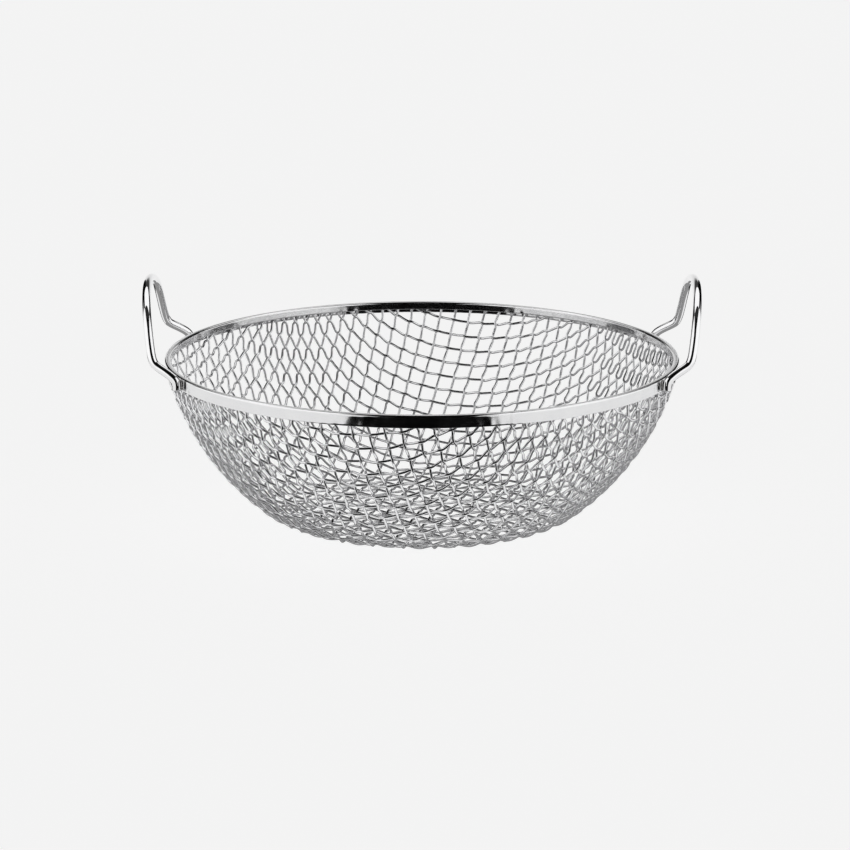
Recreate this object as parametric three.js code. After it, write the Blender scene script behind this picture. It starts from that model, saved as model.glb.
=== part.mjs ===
// Basket strainer: a round bowl of woven wire cloth with a folded rim band and two upright loop handles.
// Millimetres, +Z up. The origin is at the centre of the flat bottom that the bowl rests on.
// +X runs through the two handles.
import * as THREE from 'three';

// ---- Driving dimensions -------------------------------------------------------------------------
const RIM_RADIUS = 150;         // outside of the rim band
const RIM_HEIGHT = 95.5;         // top of the rim band above the surface it stands on
const SHEET = 0.5;              // thickness of the rim strip
const RIM_WIDTH = 3.6;          // across the folded rim, outside to inside
const OUTER_FLANGE = 7.2;       // height of the rim's outer flange, from the top of the fold
const INNER_FLANGE = 4.7;       // height of the rim's inner flange
const FOLD_CORNER = 1.1;        // outer radius of the two corners of the fold

const CLOTH = 2;                // thickness of the woven cloth as one closed shell
const CLOTH_GAP = 0.3;          // free space between the cloth and the rim channel
const CLOTH_TUCK = 2.2;         // cloth edge below the top of the rim
const WALL_ARC = 155;           // radius of the bowl's round wall, outside
const WALL_CENTRE = 129;        // height of that arc's centre, on the bowl's axis
const KNUCKLE_ARC = 31;         // radius between the wall and the flat bottom, outside

const HANDLE_WIRE = 5;          // diameter of the handle wire
const HANDLE_GAP = 0.3;         // free space between a handle leg and the rim band
const LEG_ANGLE = 24;           // degrees from +X to each welded leg, around the rim
const LEG_DROP = 7.2;           // leg end below the top of the rim
const LOOP_TOP = 43.6;          // handle wire centre above the rim, at the top of the loop

// ---- Fineness of the facets ---------------------------------------------------------------------
const AROUND = 64;              // facets round the bowl and the rim
const WIRE_SIDES = 8;           // facets round the handle wire
const HANDLE_STEPS = 52;        // steps along one handle
const ARC_STEPS = { wall: 8, knuckle: 5, fold: 3 };

const radians = THREE.MathUtils.degToRad;

// ---- Materials ----------------------------------------------------------------------------------
const clothSteel = new THREE.MeshStandardMaterial({ color: 0xb9bbbd, roughness: 0.3, metalness: 1 });
const bandSteel = new THREE.MeshStandardMaterial({ color: 0xc6c7c8, roughness: 0.22, metalness: 1 });
const rodSteel = new THREE.MeshStandardMaterial({ color: 0xcfd0d1, roughness: 0.14, metalness: 1 });

// ---- Shared shape helpers -----------------------------------------------------------------------

/** Points on an arc in the (radius, height) plane, from one angle to another, both ends included. */
function arcPoints(centre, radius, fromAngle, toAngle, steps) {
  return Array.from({ length: steps + 1 }, (_, i) => {
    const angle = fromAngle + ((toAngle - fromAngle) * i) / steps;
    return new THREE.Vector2(
      centre.x + radius * Math.cos(angle),
      centre.y + radius * Math.sin(angle),
    );
  });
}

/** Turns a (radius, height) profile about the Z axis. The profile runs with its solid on the left. */
function turned(profile) {
  return new THREE.LatheGeometry(profile, AROUND).rotateX(Math.PI / 2);
}

function named(name, geometry, material) {
  const mesh = new THREE.Mesh(geometry, material);
  mesh.name = name;
  return mesh;
}

// ---- Bowl of woven cloth, as one closed shell ---------------------------------------------------

/**
 * One side of the cloth, from the flat bottom up to the rim channel. inset is the distance in from the
 * outside of the cloth.
 */
function clothSide(inset) {
  const wallCentre = new THREE.Vector2(0, WALL_CENTRE);
  const centreRise = WALL_CENTRE - KNUCKLE_ARC;
  const knuckleCentre = new THREE.Vector2(
    Math.sqrt((WALL_ARC - KNUCKLE_ARC) ** 2 - centreRise ** 2),
    KNUCKLE_ARC,
  );
  const meetAngle = Math.atan2(-centreRise, knuckleCentre.x);
  const edgeRadius = RIM_RADIUS - SHEET - CLOTH_GAP - inset;
  const topAngle = -Math.acos(edgeRadius / (WALL_ARC - inset));
  const knuckle = arcPoints(
    knuckleCentre, KNUCKLE_ARC - inset, -Math.PI / 2, meetAngle, ARC_STEPS.knuckle,
  );
  const wall = arcPoints(wallCentre, WALL_ARC - inset, meetAngle, topAngle, ARC_STEPS.wall);
  const edge = new THREE.Vector2(edgeRadius, RIM_HEIGHT - CLOTH_TUCK);
  return [new THREE.Vector2(0, inset), ...knuckle, ...wall.slice(1), edge];
}

function meshBowl() {
  const profile = [...clothSide(0), ...clothSide(CLOTH).reverse()];
  return named('mesh_bowl', turned(profile), clothSteel);
}

// ---- Rim band, a strip folded over the cloth edge -----------------------------------------------

function rimBand() {
  const insideRadius = RIM_RADIUS - RIM_WIDTH;
  const cornerHeight = RIM_HEIGHT - FOLD_CORNER;
  const outerCorner = new THREE.Vector2(RIM_RADIUS - FOLD_CORNER, cornerHeight);
  const innerCorner = new THREE.Vector2(insideRadius + FOLD_CORNER, cornerHeight);
  const bend = FOLD_CORNER - SHEET;
  const outerFoot = RIM_HEIGHT - OUTER_FLANGE;
  const innerFoot = RIM_HEIGHT - INNER_FLANGE;
  const profile = [
    new THREE.Vector2(RIM_RADIUS, outerFoot),
    ...arcPoints(outerCorner, FOLD_CORNER, 0, Math.PI / 2, ARC_STEPS.fold),
    ...arcPoints(innerCorner, FOLD_CORNER, Math.PI / 2, Math.PI, ARC_STEPS.fold),
    new THREE.Vector2(insideRadius, innerFoot),
    new THREE.Vector2(insideRadius + SHEET, innerFoot),
    ...arcPoints(innerCorner, bend, Math.PI, Math.PI / 2, ARC_STEPS.fold),
    ...arcPoints(outerCorner, bend, Math.PI / 2, 0, ARC_STEPS.fold),
    new THREE.Vector2(RIM_RADIUS - SHEET, outerFoot),
  ];
  profile.push(profile[0].clone());
  return named('rim_band', turned(profile), bandSteel);
}

// ---- Handles, one bent wire each ----------------------------------------------------------------

/** The bends of one half of a handle, from its welded end to the loop's top. Heights are above the rim. */
function handleBends() {
  const legRadius = RIM_RADIUS + HANDLE_GAP + HANDLE_WIRE / 2;
  const legX = legRadius * Math.cos(radians(LEG_ANGLE));
  const legY = legRadius * Math.sin(radians(LEG_ANGLE));
  return [
    [legX, legY, -LEG_DROP],
    [legX, legY, -4.2],
    [legX + 0.4, legY - 0.2, -1.8],
    [legX + 2.5, legY - 1, 0.5],
    [legX + 7.7, legY - 3.1, 3.8],
    [legX + 12.1, legY - 4.9, 6.4],
    [legX + 13.9, legY - 5.9, 9.4],
    [154.6, 53.2, 15.4],
    [155.8, 48.8, 23.6],
    [157, 42.2, 32.4],
    [158, 31, 38.6],
    [158.8, 16.5, 42.4],
  ].map(([x, y, height]) => new THREE.Vector3(x, y, RIM_HEIGHT + height));
}

function handle(name, turn) {
  const half = handleBends();
  const top = new THREE.Vector3(159.1, 0, RIM_HEIGHT + LOOP_TOP);
  const mirrored = half.map((point) => new THREE.Vector3(point.x, -point.y, point.z)).reverse();
  const route = new THREE.CatmullRomCurve3([...half, top, ...mirrored], false, 'centripetal');
  const section = new THREE.Shape(
    Array.from({ length: WIRE_SIDES }, (_, i) => {
      const angle = (2 * Math.PI * i) / WIRE_SIDES;
      return new THREE.Vector2(Math.cos(angle), Math.sin(angle)).multiplyScalar(HANDLE_WIRE / 2);
    }),
  );
  const wire = new THREE.ExtrudeGeometry(section, {
    steps: HANDLE_STEPS, bevelEnabled: false, extrudePath: route,
  });
  const mesh = named(name, wire, rodSteel);
  mesh.rotation.z = turn;
  return mesh;
}

// ---- Assembly -----------------------------------------------------------------------------------
const strainer = new THREE.Group();
strainer.add(meshBowl(), rimBand(), handle('right_handle', 0), handle('left_handle', Math.PI));

export default strainer;
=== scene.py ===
"""Basket strainer: a bowl of woven stainless wire with a folded rim band and two welded loop handles.

Every wire of the cloth is a piece of its own, crimped over and under the wires that it crosses. The
cloth is laid out as a net of equal cells that is pressed into the bowl, so its square cells shear to
rhombi towards the corners of the weave. The rim is one folded strip, and each handle is one bent wire
whose legs are welded to the rim.
"""

import logging
import math
from dataclasses import dataclass, field
from enum import Enum
from typing import Sequence

import bpy
import numpy as np
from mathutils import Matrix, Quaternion, Vector

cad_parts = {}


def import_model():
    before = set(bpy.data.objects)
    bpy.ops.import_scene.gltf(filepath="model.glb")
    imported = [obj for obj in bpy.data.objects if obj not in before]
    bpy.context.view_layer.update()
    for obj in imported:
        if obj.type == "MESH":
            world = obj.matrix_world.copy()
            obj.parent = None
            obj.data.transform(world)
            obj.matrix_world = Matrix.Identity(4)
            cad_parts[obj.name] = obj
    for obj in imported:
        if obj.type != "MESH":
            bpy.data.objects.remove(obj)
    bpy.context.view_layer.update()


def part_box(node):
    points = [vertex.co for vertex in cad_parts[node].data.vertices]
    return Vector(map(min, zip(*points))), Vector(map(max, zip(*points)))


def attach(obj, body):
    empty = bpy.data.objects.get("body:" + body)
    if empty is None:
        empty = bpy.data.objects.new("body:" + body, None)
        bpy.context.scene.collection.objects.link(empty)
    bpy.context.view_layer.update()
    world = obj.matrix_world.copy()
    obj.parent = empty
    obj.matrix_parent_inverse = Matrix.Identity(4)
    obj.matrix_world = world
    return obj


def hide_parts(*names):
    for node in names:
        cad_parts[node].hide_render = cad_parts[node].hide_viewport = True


LOG = logging.getLogger("strainer")
MM = 0.001
ROOT = "root"
WELD_HEAT = "weld_heat"
UP = np.array([0.0, 0.0, 1.0])
LEVEL = np.array([1.0, 1.0, 0.0])
NUDGE = 1e-6


class Slot(Enum):
    """The record's material slots."""

    CLOTH = "wire_cloth"
    RIM = "rim_strip"
    HANDLE = "handle_wire"


class Family(Enum):
    """The two sets of wires in the cloth: the value is which way the first crossing is crimped."""

    WARP = 1
    WEFT = -1


# ------------------------------------------------------------------------------------------------
# Finishes
# ------------------------------------------------------------------------------------------------


@dataclass(frozen=True)
class SteelFinish:
    """Polished stainless steel with drawing or rolling lines and a little uneven polish.

    Attributes:
        name: Name of the material.
        tint: Colour of the metal's reflection.
        shade: Colour in the duller patches.
        gloss: Roughness of the clean metal.
        haze: Roughness of the duller patches.
        line_scale: How fine the drawing lines are, as (along the surface's u, along its v).
        line_height: Depth of the lines in metres.
        patch_scale: Fineness of the uneven polish.
    """

    name: str
    tint: tuple[float, float, float]
    shade: tuple[float, float, float]
    gloss: float
    haze: float
    line_scale: tuple[float, float]
    line_height: float
    patch_scale: float

    def build(self) -> bpy.types.Material:
        """Makes the node material.

        Returns:
            The material, with its colour, roughness and bump worked out from noise on the surface.
        """
        material = bpy.data.materials.new(self.name)
        material.use_nodes = True
        nodes = material.node_tree.nodes
        links = material.node_tree.links
        shader = nodes["Principled BSDF"]
        shader.inputs["Metallic"].default_value = 1.0
        place = nodes.new("ShaderNodeTexCoord")

        patches = nodes.new("ShaderNodeTexNoise")
        patches.inputs["Scale"].default_value = self.patch_scale
        patches.inputs["Detail"].default_value = PATCH_DETAIL
        links.new(place.outputs["Object"], patches.inputs["Vector"])

        stretch = nodes.new("ShaderNodeMapping")
        stretch.inputs["Scale"].default_value = (self.line_scale[0], self.line_scale[1], 1.0)
        lines = nodes.new("ShaderNodeTexNoise")
        lines.inputs["Scale"].default_value = 1.0
        lines.inputs["Detail"].default_value = LINE_DETAIL
        links.new(place.outputs["UV"], stretch.inputs["Vector"])
        links.new(stretch.outputs["Vector"], lines.inputs["Vector"])

        heat = nodes.new("ShaderNodeAttribute")
        heat.attribute_name = WELD_HEAT

        colour = nodes.new("ShaderNodeMixRGB")
        colour.inputs["Color1"].default_value = (*self.tint, 1.0)
        colour.inputs["Color2"].default_value = (*self.shade, 1.0)
        links.new(patches.outputs["Fac"], colour.inputs["Fac"])
        scorched = nodes.new("ShaderNodeMixRGB")
        scorched.inputs["Color2"].default_value = SCORCHED
        links.new(heat.outputs["Fac"], scorched.inputs["Fac"])
        links.new(colour.outputs["Color"], scorched.inputs["Color1"])
        links.new(scorched.outputs["Color"], shader.inputs["Base Color"])

        rough = nodes.new("ShaderNodeMapRange")
        rough.inputs["From Min"].default_value = CLEAN_BELOW
        rough.inputs["From Max"].default_value = DULL_ABOVE
        rough.inputs["To Min"].default_value = self.gloss
        rough.inputs["To Max"].default_value = self.haze
        links.new(patches.outputs["Fac"], rough.inputs["Value"])
        dulled = nodes.new("ShaderNodeMath")
        dulled.operation = "MULTIPLY_ADD"
        dulled.inputs[1].default_value = SCORCHED_ROUGHNESS
        links.new(heat.outputs["Fac"], dulled.inputs[0])
        links.new(rough.outputs["Result"], dulled.inputs[2])
        links.new(dulled.outputs["Value"], shader.inputs["Roughness"])

        bump = nodes.new("ShaderNodeBump")
        bump.inputs["Strength"].default_value = BUMP_STRENGTH
        bump.inputs["Distance"].default_value = self.line_height
        links.new(lines.outputs["Fac"], bump.inputs["Height"])
        links.new(bump.outputs["Normal"], shader.inputs["Normal"])
        return material


# The colour and added roughness of scorched steel, and the noise levels where clean metal turns dull.
SCORCHED = (0.42, 0.41, 0.4, 1.0)
SCORCHED_ROUGHNESS = 0.3
CLEAN_BELOW = 0.35
DULL_ABOVE = 0.7
PATCH_DETAIL = 3.0
LINE_DETAIL = 4.0
BUMP_STRENGTH = 0.5

DRAWN_WIRE = SteelFinish(
    name="drawn_wire",
    tint=(0.88, 0.88, 0.89),
    shade=(0.8, 0.8, 0.81),
    gloss=0.05,
    haze=0.11,
    line_scale=(9000.0, 60.0),
    line_height=0.000002,
    patch_scale=260.0,
)
ROLLED_STRIP = SteelFinish(
    name="rolled_strip",
    tint=(0.88, 0.88, 0.88),
    shade=(0.8, 0.8, 0.81),
    gloss=0.07,
    haze=0.14,
    line_scale=(40.0, 5000.0),
    line_height=0.000004,
    patch_scale=90.0,
)
POLISHED_ROD = SteelFinish(
    name="polished_rod",
    tint=(0.9, 0.9, 0.9),
    shade=(0.84, 0.84, 0.85),
    gloss=0.04,
    haze=0.08,
    line_scale=(3000.0, 30.0),
    line_height=0.000003,
    patch_scale=120.0,
)


# ------------------------------------------------------------------------------------------------
# Mesh helpers
# ------------------------------------------------------------------------------------------------


def unit(vector: np.ndarray) -> np.ndarray:
    """Scales a vector, or each row of an array of vectors, to length 1."""
    return vector / np.maximum(np.linalg.norm(vector, axis=-1, keepdims=True), 1e-12)


def make_piece(
    name: str,
    points: np.ndarray,
    faces: Sequence[Sequence[int]],
    material: bpy.types.Material,
    uv: np.ndarray | None = None,
    heat: np.ndarray | None = None,
) -> bpy.types.Object:
    """Makes a smooth-shaded mesh piece that rides on the strainer.

    Args:
        name: Name of the piece.
        points: Vertex positions in metres, one row each.
        faces: Vertex numbers of each face, anticlockwise from outside.
        material: Finish of the piece.
        uv: Surface distances in metres for each vertex, for the drawing lines.
        heat: Weld heat from 0 to 1 for each vertex.

    Returns:
        The new object.
    """
    mesh = bpy.data.meshes.new(name)
    mesh.from_pydata(points.tolist(), [], faces)
    mesh.update()
    loops = np.empty(len(mesh.loops), dtype=np.int32)
    mesh.loops.foreach_get("vertex_index", loops)
    if uv is not None:
        layer = mesh.uv_layers.new(name="surface")
        layer.data.foreach_set("uv", uv[loops].astype(np.float32).ravel())
    if heat is not None:
        spot = mesh.attributes.new(WELD_HEAT, "FLOAT", "POINT")
        spot.data.foreach_set("value", heat.astype(np.float32))
    mesh.shade_smooth()
    mesh.materials.append(material)
    piece = bpy.data.objects.new(name, mesh)
    bpy.context.scene.collection.objects.link(piece)
    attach(piece, ROOT)
    return piece


def ring_faces(rings: int, sides: int, capped: bool) -> list[list[int]]:
    """Lists the faces of a tube whose vertices run ring by ring.

    Args:
        rings: Number of rings.
        sides: Vertices in each ring.
        capped: Whether the first and last rings are closed by a face.

    Returns:
        The vertex numbers of each face.
    """
    first = np.arange(rings - 1)[:, None] * sides
    here = np.arange(sides)[None, :]
    after = (here + 1) % sides
    quads = np.stack(
        [first + here, first + after, first + sides + after, first + sides + here], axis=-1
    )
    faces = quads.reshape(-1, 4).tolist()
    if capped:
        faces.append(list(range(sides))[::-1])
        faces.append(list(range((rings - 1) * sides, rings * sides)))
    return faces


def sweep_round(
    path: np.ndarray, normals: np.ndarray, radii: np.ndarray, sides: int
) -> tuple[np.ndarray, np.ndarray]:
    """Sweeps a circle along a path.

    Args:
        path: Centre of each ring.
        normals: A direction across the path at each ring, near enough square to it.
        radii: Radius of each ring.
        sides: Vertices in each ring.

    Returns:
        The vertices ring by ring, and for each the distance around and along the wire.
    """
    along = unit(np.gradient(path, axis=0))
    across = unit(np.cross(along, normals))
    out = np.cross(across, along)
    angles = np.arange(sides) * (2 * math.pi / sides)
    cosine = np.cos(angles)[None, :, None]
    sine = np.sin(angles)[None, :, None]
    spokes = cosine * out[:, None, :] + sine * across[:, None, :]
    points = path[:, None, :] + radii[:, None, None] * spokes
    steps = np.linalg.norm(np.diff(path, axis=0), axis=1)
    length = np.concatenate([[0.0], np.cumsum(steps)])
    round_way = np.broadcast_to(angles * radii.max(), (len(path), sides))
    long_way = np.broadcast_to(length[:, None], (len(path), sides))
    return points.reshape(-1, 3), np.stack([round_way, long_way], axis=-1).reshape(-1, 2)


def spline(points: np.ndarray, steps: int) -> np.ndarray:
    """Runs a centripetal Catmull-Rom curve through points.

    Args:
        points: The points, one row each.
        steps: Samples in each stretch between two points.

    Returns:
        Points along the curve, both ends included.
    """
    before = 2 * points[0] - points[1]
    beyond = 2 * points[-1] - points[-2]
    knots = np.vstack([before, points, beyond])
    samples = []
    for a, b, c, d in zip(knots[:-3], knots[1:-2], knots[2:-1], knots[3:]):
        t1 = math.sqrt(np.linalg.norm(b - a))
        t2 = t1 + math.sqrt(np.linalg.norm(c - b))
        t3 = t2 + math.sqrt(np.linalg.norm(d - c))
        t = np.linspace(t1, t2, steps, endpoint=False)[:, None]
        ab = (t1 - t) / t1 * a + t / t1 * b
        bc = (t2 - t) / (t2 - t1) * b + (t - t1) / (t2 - t1) * c
        cd = (t3 - t) / (t3 - t2) * c + (t - t2) / (t3 - t2) * d
        abc = (t2 - t) / t2 * ab + t / t2 * bc
        bcd = (t3 - t) / (t3 - t1) * bc + (t - t1) / (t3 - t1) * cd
        samples.append((t2 - t) / (t2 - t1) * abc + (t - t1) / (t2 - t1) * bcd)
    samples.append(points[-1:])
    return np.vstack(samples)


def softened(path: np.ndarray, passes: int) -> np.ndarray:
    """Evens out the curvature of a path, with its ends kept."""
    path = path.copy()
    for _ in range(passes):
        path[1:-1] = 0.25 * path[:-2] + 0.5 * path[1:-1] + 0.25 * path[2:]
    return path


# ------------------------------------------------------------------------------------------------
# The bowl's surface
# ------------------------------------------------------------------------------------------------

# Passes of the search for a point of the surface, enough to settle.
REACH_PASSES = 14


@dataclass(frozen=True)
class BowlSurface:
    """The middle surface of the cloth: flat bottom, knuckle, round wall and the upright edge in the rim.

    Attributes:
        edge_radius: Radius of the upright edge.
        inset: Half the thickness of the cloth, from its outside to this surface.
        wall_arc: Radius of the wall, on the outside of the cloth.
        wall_centre: Height of the wall's centre.
        knuckle_arc: Radius of the knuckle, on the outside of the cloth.
    """

    edge_radius: float
    inset: float
    wall_arc: float = 155 * MM
    wall_centre: float = 129 * MM
    knuckle_arc: float = 31 * MM

    @property
    def flat_radius(self) -> float:
        """Radius of the flat bottom."""
        rise = self.wall_centre - self.knuckle_arc
        return math.sqrt((self.wall_arc - self.knuckle_arc) ** 2 - rise**2)

    @property
    def meet_angle(self) -> float:
        """Angle, seen from the wall's centre, where the knuckle runs into the wall."""
        return math.atan2(self.knuckle_arc - self.wall_centre, self.flat_radius)

    @property
    def edge_start(self) -> float:
        """Height where the wall runs into the upright edge."""
        wall = self.wall_arc - self.inset
        return self.wall_centre - math.sqrt(wall**2 - self.edge_radius**2)

    def measure(self, point: np.ndarray) -> tuple[float, np.ndarray]:
        """Finds how far a point is outside the surface.

        Args:
            point: The point.

        Returns:
            The distance, positive outside, and the outward direction there.
        """
        radius = math.hypot(point[0], point[1])
        outward = np.array([point[0], point[1], 0.0]) / max(radius, 1e-9)
        if point[2] > self.edge_start:
            return radius - self.edge_radius, outward
        rise = point[2] - self.wall_centre
        if math.atan2(rise, radius) > self.meet_angle:
            reach = math.hypot(radius, rise)
            return reach - (self.wall_arc - self.inset), (radius * outward + rise * UP) / reach
        if radius > self.flat_radius:
            side = radius - self.flat_radius
            drop = point[2] - self.knuckle_arc
            reach = math.hypot(side, drop)
            return reach - (self.knuckle_arc - self.inset), (side * outward + drop * UP) / reach
        return self.inset - point[2], -UP

    def reach_from(
        self, centre: np.ndarray, forward: np.ndarray, normal: np.ndarray, reach: float
    ) -> np.ndarray:
        """Finds the point of the surface at a given reach from a centre.

        Args:
            centre: Where the reach is measured from.
            forward: Direction to look in.
            normal: Outward direction at the centre, square to forward.
            reach: Distance to the point.

        Returns:
            The point, in the plane of forward and normal.
        """
        tilt = 0.0
        for _ in range(REACH_PASSES):
            point = centre + reach * (math.cos(tilt) * forward + math.sin(tilt) * normal)
            tilt -= self.measure(point)[0] / reach
        return point


# ------------------------------------------------------------------------------------------------
# Woven cloth
# ------------------------------------------------------------------------------------------------

WIRE_SIZE = 1.5 * MM
CUT_DROP = 2.6 * MM
# Crossings from the middle where the lean sets in, and over how many more it grows.
LEAN_START = 3
LEAN_STEPS = 14
# The least length of half a cell and the crimp's height, as shares of the pitch and of the wire.
FLATTEST_CELL = 0.2
CRIMP = 0.51
WANDER_SEED = 7


@dataclass
class WovenCloth:
    """The bowl's cloth of crimped wires.

    Attributes:
        surface: Middle surface that the cloth is pressed to.
        cut_height: Height of the cloth's cut edge, inside the rim.
        pitch: Distance between crossings along a wire.
        wire: Diameter of the wire.
        turn: Degrees from +Y, clockwise from above, to the warp.
        lean: Degrees that the middle wires lean clockwise from straight up, high on the wall.
        reach: Crossings worked out from the middle of the cloth to its edge.
        sides: Facets round a wire.
        steps: Rings between two crossings.
        wander: How far a crossing strays from its even place.
        most_kink: The sharpest sideways bend at a crossing.
        kink_onset: The shear of the cloth that gives most of that bend.
        kink_length: Length of that bend, as a share of the pitch.
        squeezed: Crimp height inside the rim, as a share of the crimp elsewhere.
    """

    surface: BowlSurface
    cut_height: float
    pitch: float = 9.0 * MM
    wire: float = WIRE_SIZE
    turn: float = 12.5
    lean: float = 7.0
    reach: int = 25
    sides: int = 10
    steps: int = 12
    wander: float = 0.1 * MM
    most_kink: float = math.radians(24.0)
    kink_onset: float = math.radians(9.0)
    kink_length: float = 0.16
    squeezed: float = 0.7
    crossings: np.ndarray = field(init=False)

    def __post_init__(self) -> None:
        """Lays out the crossings."""
        self.crossings = self._all_crossings()

    def _first_line(self, heading: np.ndarray) -> list[np.ndarray]:
        """Steps from the middle of the bowl to its edge, leaning more and more clockwise.

        Args:
            heading: Direction of the line in the middle of the bowl.

        Returns:
            The crossings along the line, from the middle.
        """
        line = [np.array([0.0, 0.0, self.surface.inset])]
        for step in range(self.reach):
            here = line[-1] + NUDGE * heading
            _, normal = self.surface.measure(here)
            radial = unit(here * LEVEL)
            share = min(max((step - LEAN_START) / LEAN_STEPS, 0.0), 1.0)
            lean = math.radians(self.lean) * share
            round_way = np.array([radial[1], -radial[0], 0.0])
            uphill = np.dot(normal, radial) * UP - normal[2] * radial
            forward = math.cos(lean) * uphill + math.sin(lean) * round_way
            line.append(self.surface.reach_from(line[-1], forward, normal, self.pitch))
        return line

    def _close_cell(self, left: np.ndarray, right: np.ndarray, back: np.ndarray) -> np.ndarray:
        """Finds a cell's far corner from its other three.

        Args:
            left: The corner next to it on one wire.
            right: The corner next to it on the other wire.
            back: The corner opposite.

        Returns:
            The point a pitch away from both neighbours, on the surface.
        """
        middle = (left + right) / 2
        half = (right - left) / 2
        half_length = np.linalg.norm(half)
        reach = math.sqrt(max(self.pitch**2 - half_length**2, (FLATTEST_CELL * self.pitch) ** 2))
        chord = half / half_length
        forward = middle - back
        forward = unit(forward - np.dot(forward, chord) * chord)
        normal = np.cross(forward, chord)
        _, outward = self.surface.measure(middle)
        if np.dot(normal, outward) < 0:
            normal = -normal
        return self.surface.reach_from(middle, forward, normal, reach)

    def _all_crossings(self) -> np.ndarray:
        """Works out every crossing: one quarter of the net, turned round to make the other three.

        Returns:
            An array indexed by place along the warp, place along the weft, and x, y, z.
        """
        angle = math.radians(self.turn)
        warp_way = np.array([math.sin(angle), math.cos(angle), 0.0])
        weft_way = np.array([math.cos(angle), -math.sin(angle), 0.0])
        quarter = np.zeros((self.reach + 1, self.reach + 1, 3))
        quarter[:, 0] = self._first_line(warp_way)
        quarter[0, :] = self._first_line(weft_way)
        for i in range(self.reach):
            for j in range(self.reach):
                quarter[i + 1, j + 1] = self._close_cell(
                    quarter[i + 1, j], quarter[i, j + 1], quarter[i, j]
                )
        net = np.zeros((2 * self.reach + 1, 2 * self.reach + 1, 3))
        middle = self.reach
        for i in range(self.reach + 1):
            for j in range(self.reach + 1):
                x, y, z = quarter[i, j]
                net[middle + i, middle + j] = (x, y, z)
                net[middle - j, middle + i] = (y, -x, z)
                net[middle - i, middle - j] = (-x, -y, z)
                net[middle + j, middle - i] = (-y, x, z)
        stray = np.random.default_rng(WANDER_SEED).normal(0.0, self.wander, net.shape)
        for place in np.ndindex(net.shape[:2]):
            _, normal = self.surface.measure(net[place])
            stray[place] -= np.dot(stray[place], normal) * normal
        return net + stray

    def wire_path(self, family: Family, row: int) -> tuple[np.ndarray, np.ndarray] | None:
        """Follows one wire over and under the wires that it crosses.

        Args:
            family: The set that the wire belongs to.
            row: Number of the wire, from 0 at one edge of the net.

        Returns:
            The wire's centre line and the cloth's outward direction along it, or None where no wire lies
            below the cut edge.
        """
        along = np.gradient(self.crossings, axis=0)
        across = np.gradient(self.crossings, axis=1)
        if family is Family.WARP:
            line, own, other = self.crossings[:, row], along[:, row], across[:, row]
        else:
            line, own, other = self.crossings[row], across[row], along[row]
        inside = np.nonzero(line[:, 2] < self.cut_height)[0]
        if len(inside) < 2:
            return None
        low = max(inside[0] - 1, 0)
        high = min(inside[-1] + 2, len(line))
        base = spline(line[low:high], self.steps)
        place = low + np.arange(len(base)) / self.steps
        base = base + self._kinks(unit(own), unit(other), place)
        wave = np.cos(math.pi * place) * (-1) ** row * family.value
        path = np.empty_like(base)
        normals = np.empty_like(base)
        for k, point in enumerate(base):
            distance, normal = self.surface.measure(point)
            near_edge = min(max((self.cut_height - point[2]) / self.pitch, 0.0), 1.0)
            share = self.squeezed + (1 - self.squeezed) * near_edge
            path[k] = point + (CRIMP * self.wire * wave[k] * share - distance) * normal
            normals[k] = normal
        kept = base[:, 2] < self.cut_height
        if kept.sum() < self.steps:
            return None
        return path[kept], unit(softened(normals[kept], 3))

    def _kinks(self, own: np.ndarray, other: np.ndarray, place: np.ndarray) -> np.ndarray:
        """Bends a wire sideways at its crossings, where the crimps hold it square to the wires it crosses.

        Args:
            own: Direction of the wire at each crossing.
            other: Direction of the crossed wire there.
            place: Place of each sample along the wire, counted in crossings.

        Returns:
            The sideways shift of each sample.
        """
        cosine = np.sum(own * other, axis=1, keepdims=True)
        sideways = unit(other - cosine * own)
        shear = np.arcsin(np.clip(cosine, -1, 1))
        bend = self.most_kink * np.tanh(shear / self.kink_onset)
        mean = self.kink_length * math.sqrt(math.pi)
        slope = -np.tan(bend) / (1 - mean) * sideways
        nearest = np.clip(np.rint(place).astype(int), 0, len(own) - 1)
        offset = place - nearest
        step = np.array([0.5 * math.erf(value / self.kink_length) - value for value in offset])
        return self.pitch * mean * step[:, None] * slope[nearest]

    def build(self, material: bpy.types.Material) -> list[bpy.types.Object]:
        """Makes each wire of the cloth as its own piece.

        Args:
            material: Finish of the wires.

        Returns:
            The wires.
        """
        wires = []
        for family in Family:
            number = 0
            for row in range(self.crossings.shape[0]):
                found = self.wire_path(family, row)
                if found is None:
                    continue
                path, normals = found
                number += 1
                radii = np.full(len(path), self.wire / 2)
                points, uv = sweep_round(path, normals, radii, self.sides)
                faces = ring_faces(len(path), self.sides, capped=True)
                name = f"{family.name.lower()}_wire_{number:02d}"
                wires.append(make_piece(name, points, faces, material, uv))
            LOG.info("%s: %d wires", family.name.lower(), number)
        return wires


# ------------------------------------------------------------------------------------------------
# Rim band
# ------------------------------------------------------------------------------------------------

# Ripples pressed in the strip, weld dimples and their scorch, and the butt seam.
RIPPLE_SEED = 11
RIPPLE_COUNTS = (9, 23, 52, 88, 104, 121, 149)
RIPPLE_SCALE = 2.4
RIPPLE_HEIGHT = 0.1 * MM
DIMPLE_DROP = 3.2 * MM
DIMPLE_SIZE = 1.3 * MM
DIMPLE_DEPTH = 0.35 * MM
SCORCH_SIZE = 1.8 * MM
SCORCH_HEAT = 0.6
SEAM_SIZE = 0.8 * MM
SEAM_DEPTH = 0.07 * MM
SEAM_DROP = 0.06 * MM
SEAM_HEAT = 0.1


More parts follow.
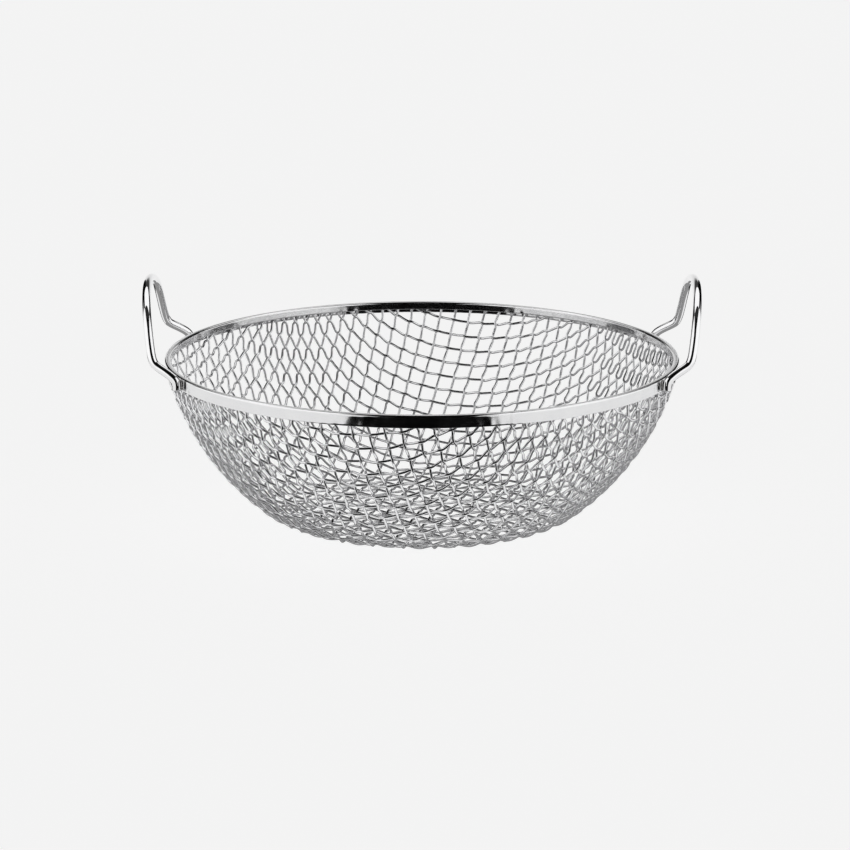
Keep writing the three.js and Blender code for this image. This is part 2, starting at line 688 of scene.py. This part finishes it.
@dataclass
class RimBand:
    """The strip folded over the cloth's edge.

    Attributes:
        radius: Outside radius.
        height: Height of its top.
        leg_angles: Where the handle legs are welded, in radians from +X.
        sheet: Thickness of the strip.
        width: Radial width of the fold.
        outer_flange: Height of the outer flange, from the top.
        inner_flange: Height of the inner flange, from the top.
        corner: Outer radius of the two corners of the fold.
        around: Facets round the rim.
        seam_angle: Degrees from +X to the butt seam of the strip.
    """

    radius: float
    height: float
    leg_angles: Sequence[float]
    sheet: float = 0.5 * MM
    width: float = 3.6 * MM
    outer_flange: float = 7.2 * MM
    inner_flange: float = 4.7 * MM
    corner: float = 1.1 * MM
    around: int = 1080
    seam_angle: float = -71.0

    def _profile(self) -> np.ndarray:
        """Outlines the folded strip.

        Returns:
            (radius, height) points anticlockwise, with the edges of the strip rounded.
        """
        shoulder = self.height - self.corner
        outer_corner = np.array([self.radius - self.corner, shoulder])
        inner_corner = np.array([self.radius - self.width + self.corner, shoulder])
        bend = self.corner - self.sheet
        lip = self.sheet / 2

        def arc(middle: np.ndarray, size: float, start: float, end: float, steps: int) -> np.ndarray:
            """Points on an arc, angles in degrees."""
            angles = np.radians(np.linspace(start, end, steps))
            return middle + size * np.stack([np.cos(angles), np.sin(angles)], axis=1)

        def upright(at: float, start: float, end: float, steps: int) -> np.ndarray:
            """Points on a vertical line, without its ends."""
            heights = np.linspace(start, end, steps + 2)[1:-1]
            return np.stack([np.full(steps, at), heights], axis=1)

        outer_foot = self.height - self.outer_flange + lip
        inner_foot = self.height - self.inner_flange + lip
        outer_lip = np.array([self.radius - lip, outer_foot])
        inner_lip = np.array([self.radius - self.width + lip, inner_foot])
        return np.vstack([
            arc(outer_lip, lip, -180, 0, 7),
            upright(self.radius, outer_foot, shoulder, 7),
            arc(outer_corner, self.corner, 0, 90, 8),
            arc(inner_corner, self.corner, 90, 180, 8),
            upright(self.radius - self.width, shoulder, inner_foot, 5),
            arc(inner_lip, lip, 180, 360, 7),
            upright(self.radius - self.width + self.sheet, inner_foot, shoulder, 3),
            arc(inner_corner, bend, 180, 90, 5),
            arc(outer_corner, bend, 90, 0, 5),
            upright(self.radius - self.sheet, shoulder, outer_foot, 5),
        ])

    def build(self, material: bpy.types.Material) -> bpy.types.Object:
        """Makes the rim band with its weld dimples, seam and pressed ripples.

        Args:
            material: Finish of the strip.

        Returns:
            The rim band.
        """
        profile = self._profile()
        angles = np.arange(self.around) * (2 * math.pi / self.around)
        radius = np.broadcast_to(profile[:, 0], (self.around, len(profile))).copy()
        height = np.broadcast_to(profile[:, 1], (self.around, len(profile))).copy()
        fold_line = self.height - self.corner
        flange = np.clip((fold_line - height) / (self.outer_flange - self.corner), 0.0, 1.0)
        ripple = self._ripple(angles)[:, None]
        radius += RIPPLE_HEIGHT * flange * ripple
        heat = np.zeros_like(radius)
        middle = self.radius - self.width / 2
        for leg in self.leg_angles:
            turn = (angles - leg + math.pi) % (2 * math.pi) - math.pi
            across = turn[:, None] * self.radius
            up = height - (self.height - DIMPLE_DROP)
            spread = across**2 + up**2
            inner = profile[None, :, 0] < middle
            radius += np.where(inner, DIMPLE_DEPTH, 0.0) * np.exp(-spread / (2 * DIMPLE_SIZE**2))
            heat = np.maximum(heat, SCORCH_HEAT * np.exp(-spread / (2 * SCORCH_SIZE**2)))
        turn = (angles - math.radians(self.seam_angle) + math.pi) % (2 * math.pi) - math.pi
        seam = np.exp(-((turn * self.radius / SEAM_SIZE) ** 2))[:, None]
        radius -= SEAM_DEPTH * seam * (profile[None, :, 0] > middle)
        height = height - SEAM_DROP * seam * (height > fold_line)
        heat = np.maximum(heat, SEAM_HEAT * seam)
        points = np.stack(
            [radius * np.cos(angles)[:, None], radius * np.sin(angles)[:, None], height], axis=-1
        )
        steps = np.linalg.norm(np.diff(profile, axis=0), axis=1)
        girth = np.concatenate([[0.0], np.cumsum(steps)])
        uv = np.stack(
            [
                np.broadcast_to(angles[:, None] * self.radius, radius.shape),
                np.broadcast_to(girth[None, :], radius.shape),
            ],
            axis=-1,
        )
        sides = len(profile)
        faces = ring_faces(self.around, sides, capped=False)
        last = (self.around - 1) * sides
        faces += [
            [last + k, last + (k + 1) % sides, (k + 1) % sides, k] for k in range(sides)
        ]
        faces = [face[::-1] for face in faces]
        return make_piece(
            "folded_rim", points.reshape(-1, 3), faces, material,
            uv.reshape(-1, 2), heat.ravel(),
        )

    def _ripple(self, angles: np.ndarray) -> np.ndarray:
        """Waves pressed into the flanges by the wires under them.

        Args:
            angles: Angles round the rim.

        Returns:
            A height from about -1 to 1 at each angle.
        """
        random = np.random.default_rng(RIPPLE_SEED)
        wave = np.zeros_like(angles)
        for count in RIPPLE_COUNTS:
            wave += random.uniform(0.4, 1.0) * np.cos(count * angles + random.uniform(0, 2 * math.pi))
        return wave / RIPPLE_SCALE


# ------------------------------------------------------------------------------------------------
# Handles
# ------------------------------------------------------------------------------------------------

# In millimetres: a leg's bends as steps out from its foot, then the loop's bends from the bowl's axis.
# Heights are from the rim's top.
LEG_BENDS = (
    (0.0, 0.0, -4.2),
    (0.4, -0.2, -1.8),
    (2.5, -1.0, 0.5),
    (7.7, -3.1, 3.8),
    (12.1, -4.9, 6.4),
    (13.9, -5.9, 9.4),
)
LOOP_BENDS = (
    (154.6, 53.2, 15.4),
    (155.8, 48.8, 23.6),
    (157.0, 42.2, 32.4),
    (158.0, 31.0, 38.6),
    (158.8, 16.5, 42.4),
)
LOOP_REACH = 159.1 * MM
SMOOTHING = 60
END_BEVEL = 0.9 * MM
HEAT_TOP = 1.0 * MM
HEAT_REACH = 0.9 * MM
WELD_ROWS = 14
WELD_COLUMNS = 24
WELD_BULGE = 0.75 * MM
WELD_HALF_WIDTH = 2.3 * MM
WELD_HALF_HEIGHT = 2.5 * MM
WELD_STAND_OFF = 0.15 * MM
WELD_DROP = 3.7 * MM
WELD_SCORCH = 0.8


@dataclass
class LoopHandle:
    """One bent-wire handle, welded to the rim by its two legs.

    Attributes:
        side: "left" or "right".
        rim_radius: Outside radius of the rim.
        rim_height: Height of the rim's top.
        wire: Diameter of the wire.
        stand_off: Distance between the rim and the legs.
        leg_angle: Degrees from the handle's middle to a leg, round the rim.
        leg_drop: Distance of the leg's end below the rim's top.
        loop_top: Height of the wire's centre above the rim, at the top of the loop.
        sides: Facets round the wire.
        steps: Rings between two bends.
    """

    side: str
    rim_radius: float
    rim_height: float
    wire: float = 5.0 * MM
    stand_off: float = 0.05 * MM
    leg_angle: float = 24.0
    leg_drop: float = 7.2 * MM
    loop_top: float = 43.6 * MM
    sides: int = 28
    steps: int = 14

    @property
    def turn(self) -> float:
        """Angle of the handle's middle round the bowl, in radians from +X."""
        return 0.0 if self.side == "right" else math.pi

    @property
    def leg_angles(self) -> list[float]:
        """Angles of the two legs round the bowl, in radians from +X."""
        return [self.turn + math.radians(sign * self.leg_angle) for sign in (-1, 1)]

    def _bends(self) -> np.ndarray:
        """Bends of half the handle, from the leg's end to just short of the top, for the right handle."""
        out = self.rim_radius + self.stand_off + self.wire / 2
        leg_x = out * math.cos(math.radians(self.leg_angle)) / MM
        leg_y = out * math.sin(math.radians(self.leg_angle)) / MM
        foot = (leg_x, leg_y, -self.leg_drop / MM)
        leg = [(leg_x + x, leg_y + y, z) for x, y, z in LEG_BENDS]
        return np.array([foot, *leg, *LOOP_BENDS]) * MM + self.rim_height * UP

    def _path(self) -> np.ndarray:
        """Centre line of the whole handle, in its place."""
        half = self._bends()
        top = np.array([[LOOP_REACH, 0.0, self.rim_height + self.loop_top]])
        other = half[::-1] * np.array([1.0, -1.0, 1.0])
        path = softened(spline(np.vstack([half, top, other]), self.steps), SMOOTHING)
        cosine, sine = math.cos(self.turn), math.sin(self.turn)
        spin = np.array([[cosine, -sine, 0.0], [sine, cosine, 0.0], [0.0, 0.0, 1.0]])
        return path @ spin.T

    def build(self, material: bpy.types.Material) -> bpy.types.Object:
        """Makes the bent wire, with rounded ends and heat marks at its welds.

        Args:
            material: Finish of the wire.

        Returns:
            The handle.
        """
        path = self._path()
        steps = np.linalg.norm(np.diff(path, axis=0), axis=1)
        along = np.concatenate([[0.0], np.cumsum(steps)])
        from_end = np.minimum(along, along[-1] - along)
        short = np.clip(1 - from_end / END_BEVEL, 0.0, 1.0)
        radii = self.wire / 2 - END_BEVEL * (1 - np.sqrt(1 - short**2))
        outward = unit(path * LEVEL)
        points, uv = sweep_round(path, outward, radii, self.sides)
        faces = ring_faces(len(path), self.sides, capped=True)
        low = points[:, 2] < self.rim_height + HEAT_TOP
        reach = np.hypot(points[:, 0], points[:, 1]) - self.rim_radius
        heat = np.where(low, 0.9 * np.exp(-((reach / HEAT_REACH) ** 2)), 0.0)
        name = f"{self.side}_handle_wire"
        return make_piece(name, points, faces, material, uv, heat)

    def build_welds(self, material: bpy.types.Material) -> list[bpy.types.Object]:
        """Makes the squeezed-out metal of the weld at each leg.

        Args:
            material: Finish of the weld.

        Returns:
            The two welds.
        """
        welds = []
        tilt = np.linspace(-math.pi / 2, math.pi / 2, WELD_ROWS)[:, None]
        turn = (np.arange(WELD_COLUMNS) * 2 * math.pi / WELD_COLUMNS)[None, :]
        lumps = 1 + 0.08 * np.sin(3 * turn + 2 * tilt) + 0.05 * np.cos(5 * turn - 3 * tilt)
        radial = WELD_BULGE * np.cos(tilt) * np.cos(turn) * lumps
        sideways = WELD_HALF_WIDTH * np.cos(tilt) ** 0.7 * np.sin(turn) * lumps
        upward = WELD_HALF_HEIGHT * np.sin(tilt)
        centre = self.rim_radius + WELD_STAND_OFF
        middle = self.rim_height - WELD_DROP
        faces = ring_faces(WELD_ROWS, WELD_COLUMNS, capped=True)
        for leg, end in zip(self.leg_angles, ("a", "b")):
            out = np.array([math.cos(leg), math.sin(leg), 0.0])
            side = np.array([-math.sin(leg), math.cos(leg), 0.0])
            points = (
                (centre + radial)[..., None] * out
                + sideways[..., None] * side
                + (middle + upward)[..., None] * UP
            )
            flat = points.reshape(-1, 3)
            uv = flat[:, :2].copy()
            heat = np.full(len(flat), WELD_SCORCH)
            name = f"{self.side}_handle_weld_{end}"
            welds.append(make_piece(name, flat, faces, material, uv, heat))
        return welds


# ------------------------------------------------------------------------------------------------
# Studio
# ------------------------------------------------------------------------------------------------

FLOOR_TONE = 0.22
FLOOR_GLOW = 0.889
FLOOR_HALF = 12.0
BLACK_GLOW = 0.0
DIM_GLOW = 0.35
BRIGHT_GLOW = 1.1
CARD_TONE = 0.004
CARD_LOW = 0.0008
CARD_FAR = -1.1
CARD_TOP = 3.6
FLOOR_CARD = (
    (-0.19, -0.16, CARD_LOW),
    (-0.345, CARD_FAR, CARD_LOW),
    (0.42, CARD_FAR, CARD_LOW),
    (0.155, -0.165, CARD_LOW),
)
FRONT_CARD = (
    (-0.345, CARD_FAR, CARD_LOW),
    (-1.0, CARD_FAR, CARD_TOP),
    (1.1, CARD_FAR, CARD_TOP),
    (0.42, CARD_FAR, CARD_LOW),
)
UNDER_CARD = (
    (-0.2, -0.1, CARD_LOW),
    (0.2, -0.1, CARD_LOW),
    (0.24, 0.24, CARD_LOW),
    (-0.24, 0.24, CARD_LOW),
)
BACK_TOP_CARD = ((-0.9, 0.3, 1.3), (0.9, 0.3, 1.3), (0.9, 1.3, 1.0), (-0.9, 1.3, 1.0))
INNER_CARD = ((-0.056, 0.02, 0.02), (0.042, 0.02, 0.02), (0.042, 0.02, 0.088), (-0.056, 0.02, 0.088))
SIDE_PATCH = ((0.2, 0.14), (0.46, 0.18), (0.46, 0.32), (0.2, 0.28))
# The first two values are degrees from +Y, the others metres: distance from the bowl's axis and height.
FLAG = (22, 50, 1.3, 0.9)
SOFT = (70, 148, 1.0, 1.2)
# Height of the direction looked in, from straight down at -1 to straight up at 1, and the level there.
SURROUND = ((0.0, 0.9), (0.2, 0.8), (0.34, 0.08), (1.0, 0.04))
VIEW_GAMMA = 0.85


@dataclass
class Studio:
    """Pale floor, surround, dark and bright cards, and camera.

    Attributes:
        elevation: Degrees that the camera looks down.
        distance: From the camera to the point that it looks at.
        look_height: Height of that point.
        look_side: How far that point lies to the right of the strainer's axis.
        lens: Focal length in millimetres, on a 36 mm sensor.
        roll: Degrees that the camera is turned about its own axis.
    """

    elevation: float = 14.0
    distance: float = 2.128
    look_height: float = 0.0529
    look_side: float = 0.0018
    lens: float = 153.5
    roll: float = 0.05

    def _flat(
        self, name: str, corners: Sequence[tuple[float, float, float]], material: bpy.types.Material
    ) -> bpy.types.Object:
        """Makes a flat stage piece from its corners."""
        mesh = bpy.data.meshes.new(name)
        mesh.from_pydata(list(corners), [], [list(range(len(corners)))])
        mesh.materials.append(material)
        card = bpy.data.objects.new(name, mesh)
        bpy.context.scene.collection.objects.link(card)
        return card

    def add_camera(self) -> None:
        """Places the camera."""
        data = bpy.data.cameras.new("camera")
        data.lens = self.lens
        data.sensor_width = 36.0
        data.clip_end = 50.0
        camera = bpy.data.objects.new("camera", data)
        bpy.context.scene.collection.objects.link(camera)
        down = math.radians(self.elevation)
        camera.location = (
            self.look_side,
            -self.distance * math.cos(down),
            self.look_height + self.distance * math.sin(down),
        )
        aim = Vector((self.look_side, 0.0, self.look_height)) - camera.location
        turn = aim.to_track_quat("-Z", "Y")
        camera.rotation_mode = "QUATERNION"
        camera.rotation_quaternion = turn @ Quaternion((0.0, 0.0, 1.0), math.radians(self.roll))
        bpy.context.scene.camera = camera

    def add_floor(self) -> None:
        """Lays the pale floor, which glows a little so that it stays even."""
        material = bpy.data.materials.new("pale_floor")
        material.use_nodes = True
        shader = material.node_tree.nodes["Principled BSDF"]
        shader.inputs["Base Color"].default_value = (FLOOR_TONE, FLOOR_TONE, FLOOR_TONE, 1.0)
        shader.inputs["Roughness"].default_value = 0.9
        shader.inputs["Specular IOR Level"].default_value = 0.0
        shader.inputs["Emission Color"].default_value = (1.0, 1.0, 1.0, 1.0)
        shader.inputs["Emission Strength"].default_value = FLOOR_GLOW
        half = FLOOR_HALF
        edges = [(-half, -half, 0.0), (half, -half, 0.0), (half, half, 0.0), (-half, half, 0.0)]
        self._flat("floor", edges, material)

    def add_cards(self) -> None:
        """Hangs the dark and bright cards that the steel mirrors and nothing else sees."""
        dark = self._card_material("dark_card", BLACK_GLOW)
        dim = self._card_material("dim_card", DIM_GLOW)
        bright = self._card_material("bright_card", BRIGHT_GLOW)
        cards = [
            self._flat("floor_card", FLOOR_CARD, dark),
            self._flat("front_card", FRONT_CARD, dark),
            self._flat("under_card", UNDER_CARD, dim),
            self._flat("back_top_card", BACK_TOP_CARD, bright),
            self._flat("inner_card", INNER_CARD, dark),
        ]
        for side in (-1, 1):
            patch = [(side * x, y, CARD_LOW) for x, y in SIDE_PATCH]
            cards.append(self._flat(f"side_patch_{side}", patch, dark))
            cards.append(self._upright_card(f"flag_{side}", side, FLAG, dark))
            cards.append(self._upright_card(f"soft_{side}", side, SOFT, bright))
        for card in cards:
            card.visible_camera = False
            card.visible_diffuse = False
            card.visible_shadow = False

    def _card_material(self, name: str, glow: float) -> bpy.types.Material:
        """Makes a card's material, near black with a given white glow."""
        material = bpy.data.materials.new(name)
        material.use_nodes = True
        shader = material.node_tree.nodes["Principled BSDF"]
        shader.inputs["Base Color"].default_value = (CARD_TONE, CARD_TONE, CARD_TONE, 1.0)
        shader.inputs["Roughness"].default_value = 1.0
        shader.inputs["Specular IOR Level"].default_value = 0.0
        shader.inputs["Emission Color"].default_value = (1.0, 1.0, 1.0, 1.0)
        shader.inputs["Emission Strength"].default_value = glow
        return material

    def _upright_card(
        self,
        name: str,
        side: int,
        stand: tuple[float, float, float, float],
        material: bpy.types.Material,
    ) -> bpy.types.Object:
        """Stands a card up between two headings.

        Args:
            name: Name of the card.
            side: 1 towards +X, -1 towards -X.
            stand: Headings of the two upright edges, their distance and the card's height.
            material: Its material.

        Returns:
            The card.
        """
        start, end, distance, height = stand
        feet = [
            (distance * math.sin(math.radians(angle)), distance * math.cos(math.radians(angle)))
            for angle in (side * start, side * end)
        ]
        (x0, y0), (x1, y1) = feet
        edges = [(x0, y0, CARD_LOW), (x1, y1, CARD_LOW), (x1, y1, height), (x0, y0, height)]
        return self._flat(name, edges, material)

    def add_surround(self) -> None:
        """Lights the scene with a surround, pale to a little above the horizon and dark overhead."""
        world = bpy.data.worlds.new("studio")
        bpy.context.scene.world = world
        world.use_nodes = True
        nodes = world.node_tree.nodes
        links = world.node_tree.links
        background = nodes["Background"]
        place = nodes.new("ShaderNodeTexCoord")
        split = nodes.new("ShaderNodeSeparateXYZ")
        ramp = nodes.new("ShaderNodeValToRGB")
        ramp.color_ramp.elements.remove(ramp.color_ramp.elements[1])
        for number, (position, level) in enumerate(SURROUND):
            element = (
                ramp.color_ramp.elements[0] if number == 0 else ramp.color_ramp.elements.new(position)
            )
            element.position = position
            element.color = (level, level, level, 1.0)
        links.new(place.outputs["Generated"], split.inputs["Vector"])
        links.new(split.outputs["Z"], ramp.inputs["Fac"])
        links.new(ramp.outputs["Color"], background.inputs["Color"])
        background.inputs["Strength"].default_value = 1.0

    def build(self) -> None:
        """Sets up everything round the strainer."""
        self.add_camera()
        self.add_floor()
        self.add_cards()
        self.add_surround()
        bpy.context.scene.view_settings.view_transform = "Standard"
        bpy.context.scene.view_settings.gamma = VIEW_GAMMA


# ------------------------------------------------------------------------------------------------
# Assembly
# ------------------------------------------------------------------------------------------------


def corners(bounds: Sequence[Sequence[float]]) -> list[list[float]]:
    """Copies a box's two corners as plain lists."""
    return [[float(value) for value in corner] for corner in bounds]


def main() -> None:
    """Builds the strainer and its studio."""
    logging.basicConfig(level=logging.INFO, format="%(name)s: %(message)s")
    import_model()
    Studio().build()

    rim_low, rim_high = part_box("rim_band")
    rim_radius = float(rim_high[0])
    rim_height = float(rim_high[2])
    handles = [LoopHandle(side, rim_radius, rim_height) for side in ("left", "right")]

    rod = POLISHED_ROD.build()
    for handle in handles:
        wire = handle.build(rod)
        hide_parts(f"{handle.side}_handle")
        welds = handle.build_welds(rod)
        LOG.info("%s handle: %s and %d welds", handle.side, wire.name, len(welds))

    leg_angles = [angle for handle in handles for angle in handle.leg_angles]
    band = RimBand(rim_radius, rim_height, leg_angles)
    rim = band.build(ROLLED_STRIP.build())
    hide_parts("rim_band")
    LOG.info("rim: %s", rim.name)

    surface = BowlSurface(edge_radius=rim_radius - band.width / 2, inset=WIRE_SIZE)
    cloth = WovenCloth(surface, cut_height=rim_height - CUT_DROP)
    wires = cloth.build(DRAWN_WIRE.build())
    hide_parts("mesh_bowl")
    LOG.info("cloth: %d wires", len(wires))


if __name__ == "__main__":
    main()
